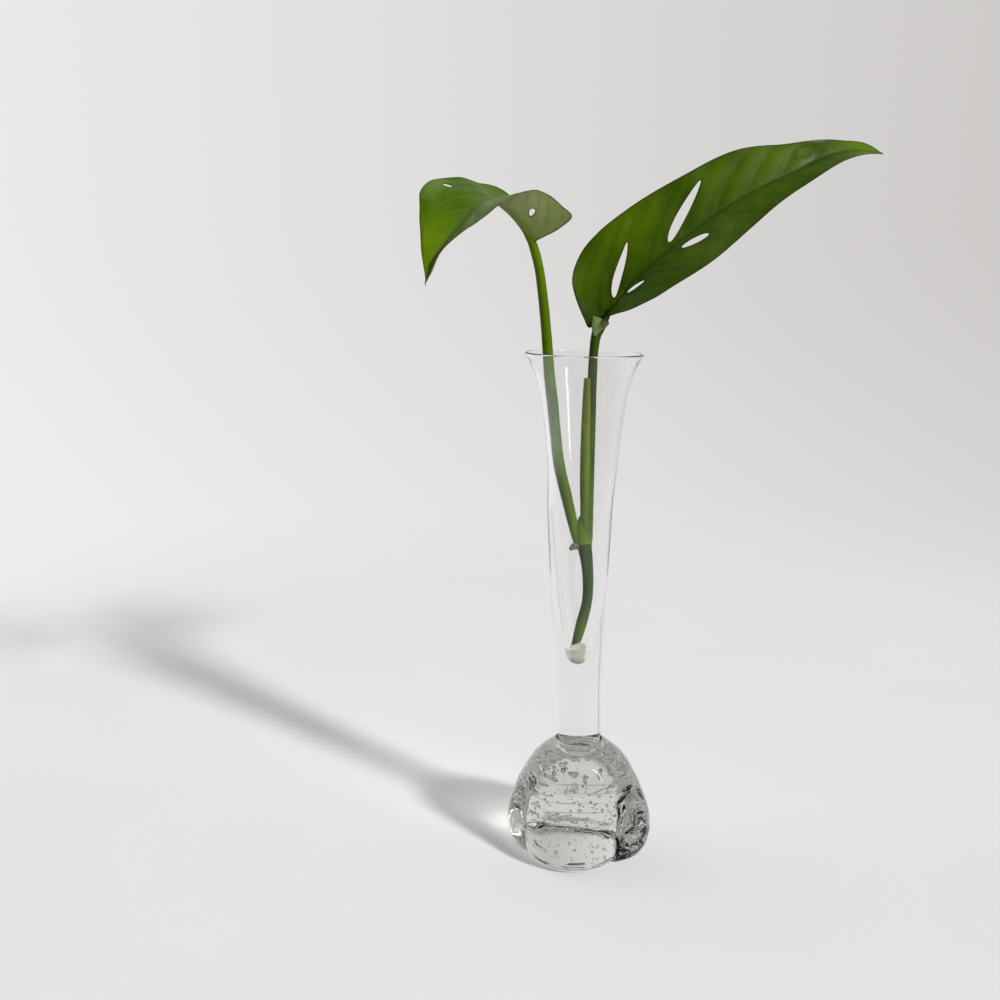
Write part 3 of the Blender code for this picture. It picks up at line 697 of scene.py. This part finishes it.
# ---- the leaves ----
def midrib_frame(leaf, s):
    """Place, side and upward directions of the midrib at each s."""
    walked = chord_lengths(leaf["midrib"])
    inside = np.clip(s, 0, walked[-1])
    step = 0.5
    ahead = smooth_through(walked, leaf["midrib"], np.clip(inside + step, 0, walked[-1]))
    behind = smooth_through(walked, leaf["midrib"], np.clip(inside - step, 0, walked[-1]))
    forward = ahead - behind
    forward /= np.linalg.norm(forward, axis=1)[:, None]
    place = smooth_through(walked, leaf["midrib"], inside) + forward * (s - inside)[:, None]
    side = np.array(leaf["side"]) - forward * (forward @ np.array(leaf["side"]))[:, None]
    side /= np.linalg.norm(side, axis=1)[:, None]
    return place, side, np.cross(forward, side)


def blade_points(leaf, s, x):
    """Points of the folded blade's upper face, with a rounded fold."""
    place, side, up = midrib_frame(leaf, s)
    fold = np.where(x >= 0, smooth_pairs(leaf["fold_left"], s), smooth_pairs(leaf["fold_right"], s))
    fold = np.radians(fold)
    lift = np.sqrt(x ** 2 + 0.36) - 0.6
    return place + side * (x * np.cos(fold))[:, None] + up * (lift * np.sin(fold))[:, None]


def blade_normals(leaf, s, x):
    """Directions square to the folded blade, out of its upper face."""
    step = 0.2
    along = blade_points(leaf, s + step, x) - blade_points(leaf, s - step, x)
    across = blade_points(leaf, s, x + step) - blade_points(leaf, s, x - step)
    normal = np.cross(along, across)
    return normal / np.linalg.norm(normal, axis=1)[:, None]


def even_walk(points, spacing):
    """Points about that far apart on a smooth curve through the given ones."""
    walked = chord_lengths(points)
    count = int(round(walked[-1] / spacing)) + 1
    return smooth_through(walked, points, np.linspace(0, walked[-1], count))


def leaf_outline(leaf):
    """The flat leaf's edge, anticlockwise: out along the right margin and back along the left."""
    tip = (leaf["length"], 0)
    out = even_walk([(s, -x) for s, x in leaf["right_margin"]] + [tip], LEAF_SPACING)
    back = even_walk(leaf["left_margin"] + [tip], LEAF_SPACING)[::-1]
    return np.concatenate([out, back[1:]])


def hole_outline(hole):
    """A teardrop hole, clockwise."""
    s, x, length, width, heading, taper, sway = hole
    count = int(2.2 * length / LEAF_SPACING)
    turns = -tau * np.arange(count) / count
    along = np.cos(turns)
    across = np.sin(turns) * (1 - taper * along) * width / 2 + sway * np.sin(pi * along)
    along = along * length / 2
    lean = radians(heading)
    ahead = s + along * cos(lean) - across * sin(lean)
    aside = x + along * sin(lean) + across * cos(lean)
    return np.stack([ahead, aside], axis=1)


def inside_loop(points, loop):
    """Whether each flat point lies inside a closed loop."""
    inside = np.zeros(len(points), bool)
    for a, b in zip(loop, np.roll(loop, -1, axis=0)):
        if a[1] == b[1]:
            continue
        spans = (points[:, 1] < a[1]) != (points[:, 1] < b[1])
        place = a[0] + (points[:, 1] - a[1]) / (b[1] - a[1]) * (b[0] - a[0])
        inside ^= spans & (points[:, 0] < place)
    return inside


def on_blade(points, outline, holes):
    """Whether each flat point lies on the leaf and in none of its holes."""
    kept = inside_loop(points, outline)
    for hole in holes:
        kept &= ~inside_loop(points, hole)
    return kept


def distances(points, others):
    """Distance from each flat point to the nearest of the others."""
    tree = kdtree.KDTree(len(others))
    for k, other in enumerate(others):
        tree.insert((other[0], other[1], 0), k)
    tree.balance()
    return np.array([tree.find((point[0], point[1], 0))[2] for point in points])


def flat_triangles(outline, holes):
    """Vertices and triangles of the flat leaf with its holes cut out."""
    loops = [outline] + holes
    rim = np.concatenate(loops)
    wide = np.abs(outline[:, 1]).max()
    columns = np.arange(-int(wide / LEAF_SPACING), int(wide / LEAF_SPACING) + 1)
    rows = np.arange(outline[:, 0].min(), outline[:, 0].max(), LEAF_SPACING)
    grid = np.array([(s + (k % 2) * LEAF_SPACING / 2, k * LEAF_SPACING) for k in columns for s in rows])
    grid = grid[on_blade(grid, outline, holes)]
    grid = grid[distances(grid, rim) > 0.6 * LEAF_SPACING]
    edges = []
    start = 0
    for loop in loops:
        edges += [(start + k, start + (k + 1) % len(loop)) for k in range(len(loop))]
        start += len(loop)
    flat = [Vector(point) for point in np.concatenate([rim, grid])]
    points, _, triangles, _, _, _ = geometry.delaunay_2d_cdt(flat, edges, [], 0, 1e-6)
    points = np.array([tuple(point) for point in points])
    corners = np.array([tuple(triangle) for triangle in triangles])
    corners = corners[on_blade(points[corners].mean(axis=1), outline, holes)]
    used, corners = np.unique(corners, return_inverse=True)
    return points[used], corners.reshape(-1, 3)


def vein_pattern(leaf, s, x):
    """How much each point lies on a side vein, and how far it lies between two of them."""
    out = np.abs(x)
    slope, bend = leaf["sweep"]
    start = s - slope * out - bend * out ** 2
    count = len(leaf["veins"])
    place = np.interp(start, leaf["veins"], np.arange(count))
    nearest = np.interp(np.round(place), np.arange(count), leaf["veins"])
    steep = slope + 2 * bend * out
    gap = np.abs(start - nearest) / np.sqrt(1 + steep ** 2)
    between = np.sin(pi * (place - np.floor(place))) ** 2
    return np.exp(-(gap / 0.42) ** 2), between


def tip_thread(leaf):
    """Vertices and faces of the fine thread that the blade's tip ends in."""
    place, _, up = midrib_frame(leaf, leaf["length"] - np.array([1.2, 0.2, -0.4, -1.0]))
    line = place - up * np.array([0.1, 0.1, 0.3, 1.0])[:, None]
    return join_rings(stalk_rings(line.tolist(), [0.2, 0.26, 0.17, 0.07], 0.2, 10))


def make_leaf(name, node, leaf, finishes):
    """A blade with sunken veins, quilted skin between them, a keel below and a thread at the tip."""
    outline = leaf_outline(leaf)
    holes = [hole_outline(hole) for hole in leaf["holes"]]
    points, triangles = flat_triangles(outline, holes)
    s, x = points.T
    to_edge = distances(points, np.concatenate([outline] + holes))
    vein, between = vein_pattern(leaf, s, x)
    inner = ease(to_edge, 0, 5) * ease(np.abs(x), 0.3, 3)
    taper = np.clip(1 - s / leaf["length"], 0.15, 1)
    rib = np.exp(-(x / RIB_HALF_WIDTH) ** 2)
    rings = np.zeros(len(s))
    for at_s, at_x, reach, height in leaf["rings"]:
        rings += height * np.exp(-((np.hypot((s - at_s) / 1.6, x - at_x) - reach) / 0.45) ** 2)
    relief = QUILT_RISE * between * inner - VEIN_SINK * vein * inner
    relief += rings - MIDRIB_SINK * rib * taper ** 0.5
    relief += MARGIN_WAVE * np.sin(s * 0.33 + 0.7) * (1 - ease(to_edge, 0, 5)) * ease(to_edge, 0, 0.6)
    thickness = EDGE_THICKNESS + (BLADE_THICKNESS - EDGE_THICKNESS) * ease(to_edge, 0, 2.5)
    thickness += RIB_DEPTH * rib * taper + VEIN_KEEL * vein * inner
    normals = blade_normals(leaf, s, x)
    upper = blade_points(leaf, s, x) + normals * relief[:, None]
    lower = upper - normals * thickness[:, None]

    count = len(upper)
    faces = [tuple(triangle) for triangle in triangles.tolist()]
    directed = {pair for a, b, c in faces for pair in ((a, b), (b, c), (c, a))}
    under = [(c + count, b + count, a + count) for a, b, c in faces]
    border = [(b, a, a + count, b + count) for a, b in sorted(directed) if (b, a) not in directed]
    numbers = [0] * len(faces) + [1] * len(under) + [2] * len(border)
    paint = {
        "vein": 0.5 * vein * inner,
        "edge": np.exp(-(to_edge / 0.3) ** 1.5) * 0.85,
        # paler tone from the listed spots and between the veins: partly the leaf's own colour, partly painted
        # light on crests and quilted bulges
        "pale": bumps(leaf["pale"], s, x) + 0.2 * between * inner,
        # where the painted sheen lies
        "grey": bumps(leaf["grey"], s, x),
    }
    both = {key: np.tile(value, 2) for key, value in paint.items()}
    both["rib"] = np.concatenate([0.7 * np.exp(-(x / 0.4) ** 2), 0.9 * np.exp(-(x / 1.5) ** 2) * taper])
    blade = (np.concatenate([upper, lower]), faces + under + border, numbers, both)

    parts = [blade, (*tip_thread(leaf), 2, {})]
    if "fold" in leaf:
        fold = stalk_rings(leaf["fold"], leaf["fold_widths"], 0.4, 28, 0.3)
        parts.append((*join_rings(fold), 1, {}))
    return make_piece(name, parts, finishes, "leaf_blade", node)


# ---- the stage, in metres ----
FLOOR_COLOR = srgb(229, 229, 229)
FLOOR_GRAIN = srgb(227, 227, 228)
FLOOR_RADIUS = 6.0
FRONT_MIRRORED = srgb(80, 80, 80)
FRONT_THROUGH_GLASS = srgb(175, 174, 172)
# where each blend of the studio begins and ends, along a direction's x, y or z
SIDE_BLEND = (-0.42, 0.42)
FRONT_BLEND = (-0.55, 0.1)
GROUND_BLEND = (-0.32, 0.06)
# how much further round the dark front reaches for what glass mirrors or bends
GLASS_FRONT_SHIFT = 0.3
LEFT_SKY = srgb(236, 235, 236)
RIGHT_SKY = srgb(205, 202, 200)
LEFT_GROUND = srgb(240, 240, 241)
RIGHT_GROUND = srgb(220, 218, 217)
FLOOR_FADE = (0.3, 0.8)
STUDIO_LIGHT = 0.77


def make_floor():
    """A wide pale disc that the vase stands on, which fades away into the studio around it."""
    mesh = bpy.data.meshes.new("floor")
    disc = bmesh.new()
    bmesh.ops.create_circle(disc, cap_ends=True, segments=96, radius=FLOOR_RADIUS)
    disc.to_mesh(mesh)
    disc.free()
    made, tree = start_material("floor_paper")
    grain = noise_at(tree, 9, 3.0, 0.5)
    color = blend_colors(tree, remap(tree, grain, 0.3, 0.7), FLOOR_COLOR, FLOOR_GRAIN)
    paper = put(tree, "BsdfPrincipled", {"Base Color": color, "Roughness": 0.9, "Specular IOR Level": 0.1})
    place = put(tree, "TexCoord").outputs["Object"]
    away = put(tree, "VectorMath", {0: place}, operation="LENGTH").outputs["Value"]
    fade = remap(tree, away, *FLOOR_FADE, kind="SMOOTHSTEP")
    nothing = put(tree, "BsdfTransparent")
    mixed = put(tree, "MixShader", {0: fade, 1: paper.outputs[0], 2: nothing.outputs[0]})
    finish_material(tree, mixed.outputs[0])
    mesh.materials.append(made)
    floor = bpy.data.objects.new("floor", mesh)
    floor.location.z = -0.0002
    floor.visible_glossy = False
    bpy.context.scene.collection.objects.link(floor)


def make_world():
    """A pale studio, brighter on the left, whose front side lights and mirrors more darkly."""
    world = bpy.data.worlds.new("studio")
    world.use_nodes = True
    tree = world.node_tree
    tree.nodes.clear()
    place = put(tree, "TexCoord").outputs["Generated"]
    parts = put(tree, "SeparateXYZ", {0: place})
    path = put(tree, "LightPath").outputs
    aside = remap(tree, parts.outputs[0], *SIDE_BLEND)
    height = remap(tree, parts.outputs[2], *GROUND_BLEND, kind="SMOOTHSTEP")
    sky = blend_colors(tree, aside, LEFT_SKY, RIGHT_SKY)
    sky = blend_colors(tree, height, blend_colors(tree, aside, LEFT_GROUND, RIGHT_GROUND), sky)
    front = blend_colors(tree, path["Is Transmission Ray"], FRONT_MIRRORED, FRONT_THROUGH_GLASS)
    in_glass = combine(tree, "ADD", path["Is Glossy Ray"], path["Is Transmission Ray"], True)
    shift = combine(tree, "MULTIPLY", in_glass, GLASS_FRONT_SHIFT)
    back = remap(tree, combine(tree, "SUBTRACT", parts.outputs[1], shift), *FRONT_BLEND)
    depth = combine(tree, "MAXIMUM", back, path["Is Camera Ray"])
    color = blend_colors(tree, depth, front, sky)
    strength = remap(tree, path["Is Diffuse Ray"], 0, 1, 1.0, STUDIO_LIGHT)
    light = put(tree, "Background", {"Color": color, "Strength": strength})
    output = put(tree, "OutputWorld")
    tree.links.new(light.outputs[0], output.inputs["Surface"])
    bpy.context.scene.world = world


def aim(thing, place, target):
    """Puts a lamp at a place in metres and points it at another."""
    thing.location = place
    thing.rotation_euler = (Vector(target) - Vector(place)).to_track_quat("-Z", "Y").to_euler()


def make_lights():
    """A soft sun from the front right, a tall window beside it that glass mirrors, and a faint fill."""
    scene = bpy.context.scene
    key = bpy.data.objects.new("key", bpy.data.lights.new("key", "SUN"))
    key.data.energy = 3.3
    key.data.angle = radians(7)
    key.data.cycles.use_multiple_importance_sampling = False
    aim(key, (0.70, -0.71, 0.56), (0, 0, 0))
    scene.collection.objects.link(key)
    window = bpy.data.objects.new("window", bpy.data.lights.new("window", "AREA"))
    window.data.shape = "RECTANGLE"
    window.data.size = 0.1
    window.data.size_y = 1.4
    window.data.energy = 4
    aim(window, (0.95, -0.95, 0.75), (0, 0, 0.12))
    scene.collection.objects.link(window)
    fill = bpy.data.objects.new("fill", bpy.data.lights.new("fill", "AREA"))
    fill.data.size = 0.8
    fill.data.energy = 1.2
    fill.visible_glossy = False
    fill.visible_transmission = False
    aim(fill, (-0.9, 0.5, 0.8), (-0.35, 0.25, 0))
    scene.collection.objects.link(fill)


CAMERA_PLACE = (-0.0316, -0.440, 0.228)
CAMERA_DIP = 10.85
CAMERA_LENS = 41.94


def make_camera():
    """The camera, in front of the vase and tilted a little down."""
    scene = bpy.context.scene
    camera = bpy.data.objects.new("camera", bpy.data.cameras.new("camera"))
    camera.location = CAMERA_PLACE
    camera.rotation_euler = (radians(90 - CAMERA_DIP), 0, 0)
    camera.data.lens = CAMERA_LENS
    camera.data.sensor_width = 36
    camera.data.clip_start = 0.01
    scene.collection.objects.link(camera)
    scene.camera = camera
    scene.view_settings.view_transform = "Standard"


# ---- the looks ----
def dress():
    """Every piece with its materials."""
    clear = glass_material(
        "clear_glass_look", tint=(0.985, 0.99, 0.985, 1), shadow=(0.7, 0.7, 0.7, 1),
        rim_shadow=(0.35, 0.35, 0.35, 1), wave_scale=30, wave_depth=0.000004)
    pearl = glass_material(
        "pearly_glass_look", tint=srgb(186, 183, 170), shadow=(0.8, 0.8, 0.8, 1),
        rim_shadow=(0.5, 0.5, 0.5, 1), wave_scale=400, wave_depth=0.00004, weight=0.6, roughness=0.25)
    # the bubble glass's lighter foot tint is painted light for the light gathered in the foot
    bubbled = glass_material(
        "bubble_glass_look", tint=(0.71, 0.705, 0.67, 1), shadow=(0.34, 0.34, 0.33, 1),
        rim_shadow=(0.16, 0.16, 0.15, 1), wave_scale=200, wave_depth=0.000015,
        foot_tint=(0.88, 0.88, 0.855, 1))
    make_tube(clear, pearl)
    make_base(bubbled)

    # the left petiole is painted greyer from 158 to 190 mm, inside the top of the vase: a painted reflection
    # of the glass
    left_skin = stalk_material("left_petiole_look", [
        (124, srgb(84, 104, 44)), (134, srgb(66, 88, 12)), (148, srgb(64, 86, 20)), (158, srgb(76, 96, 40)),
        (163.5, srgb(84, 102, 60)), (164.5, srgb(94, 112, 74)), (190, srgb(86, 108, 66)),
        (194, srgb(78, 100, 6)), (222, srgb(80, 104, 4)), (245, srgb(96, 120, 12))])
    right_skin = stalk_material("right_petiole_look", [
        (124, srgb(70, 92, 30)), (136, srgb(52, 74, 8)), (160, srgb(40, 60, 2)), (195, srgb(40, 58, 4)),
        (206, srgb(54, 74, 6)), (222, srgb(78, 102, 20))])
    sheath = stalk_material("sheath_look", [
        (125, srgb(92, 116, 50)), (129, srgb(72, 94, 26)), (136, srgb(68, 90, 14)), (150, srgb(74, 94, 4)),
        (180, srgb(88, 104, 4)), (193, srgb(104, 116, 36))], 0.5)
    stem = stalk_material("stem_look", [
        (84, srgb(64, 84, 30)), (92, srgb(58, 80, 16)), (104, srgb(42, 58, 20)), (118, srgb(44, 60, 26)),
        (126, srgb(38, 54, 18))])
    flesh = plain_material("cut_flesh_look", srgb(180, 184, 150), srgb(140, 146, 100), 700, 0.6)
    bark = plain_material("root_bark_look", srgb(70, 52, 38), srgb(112, 92, 74), 900, 0.8, 0.0003)
    make_stem(stem, flesh)
    make_petiole("left_petiole_skin", "petiole_left", LEFT_PETIOLE_LINE, LEFT_PETIOLE_RADIUS,
                 LEFT_LEAF, LEFT_PETIOLE_END, left_skin)
    make_petiole("right_petiole_skin", "petiole_right", RIGHT_PETIOLE_LINE, RIGHT_PETIOLE_RADIUS,
                 RIGHT_LEAF, RIGHT_PETIOLE_END, right_skin)
    make_sheath(sheath)
    make_root(bark)

    edge = plain_material("leaf_edge_look", srgb(66, 62, 10), srgb(90, 88, 30), 500, 0.6)
    brown = srgb(46, 44, 6)
    right_top = blade_material(
        "right_leaf_top", deep=srgb(44, 68, 1), bright=srgb(86, 112, 2), vein=srgb(74, 100, 24),
        rib=srgb(36, 54, 2), sheen=srgb(86, 106, 54), edge=brown, roughness=0.4, glow=srgb(96, 126, 0),
        clear=0.12)
    right_back = blade_material(
        "right_leaf_under", deep=srgb(124, 142, 88), bright=srgb(150, 164, 112), vein=srgb(150, 166, 104),
        rib=srgb(110, 136, 40), sheen=srgb(150, 160, 124), edge=brown, roughness=0.6,
        glow=srgb(130, 150, 40), clear=0.2)
    left_top = blade_material(
        "left_leaf_top", deep=srgb(62, 94, 0), bright=srgb(104, 134, 4), vein=srgb(104, 128, 30),
        rib=srgb(70, 96, 10), sheen=srgb(114, 132, 80), edge=brown, roughness=0.42, glow=srgb(120, 150, 0),
        clear=0.2)
    left_back = blade_material(
        "left_leaf_under", deep=srgb(160, 176, 100), bright=srgb(186, 198, 134), vein=srgb(112, 134, 60),
        rib=srgb(100, 126, 14), sheen=srgb(150, 160, 120), edge=brown, roughness=0.6,
        glow=srgb(150, 166, 70), clear=0.3)
    make_leaf("right_leaf_blade", "leaf_right", RIGHT_LEAF, [right_top, right_back, edge])
    make_leaf("left_leaf_blade", "leaf_left", LEFT_LEAF, [left_top, left_back, edge])


make_camera()
make_world()
make_lights()
make_floor()
dress()
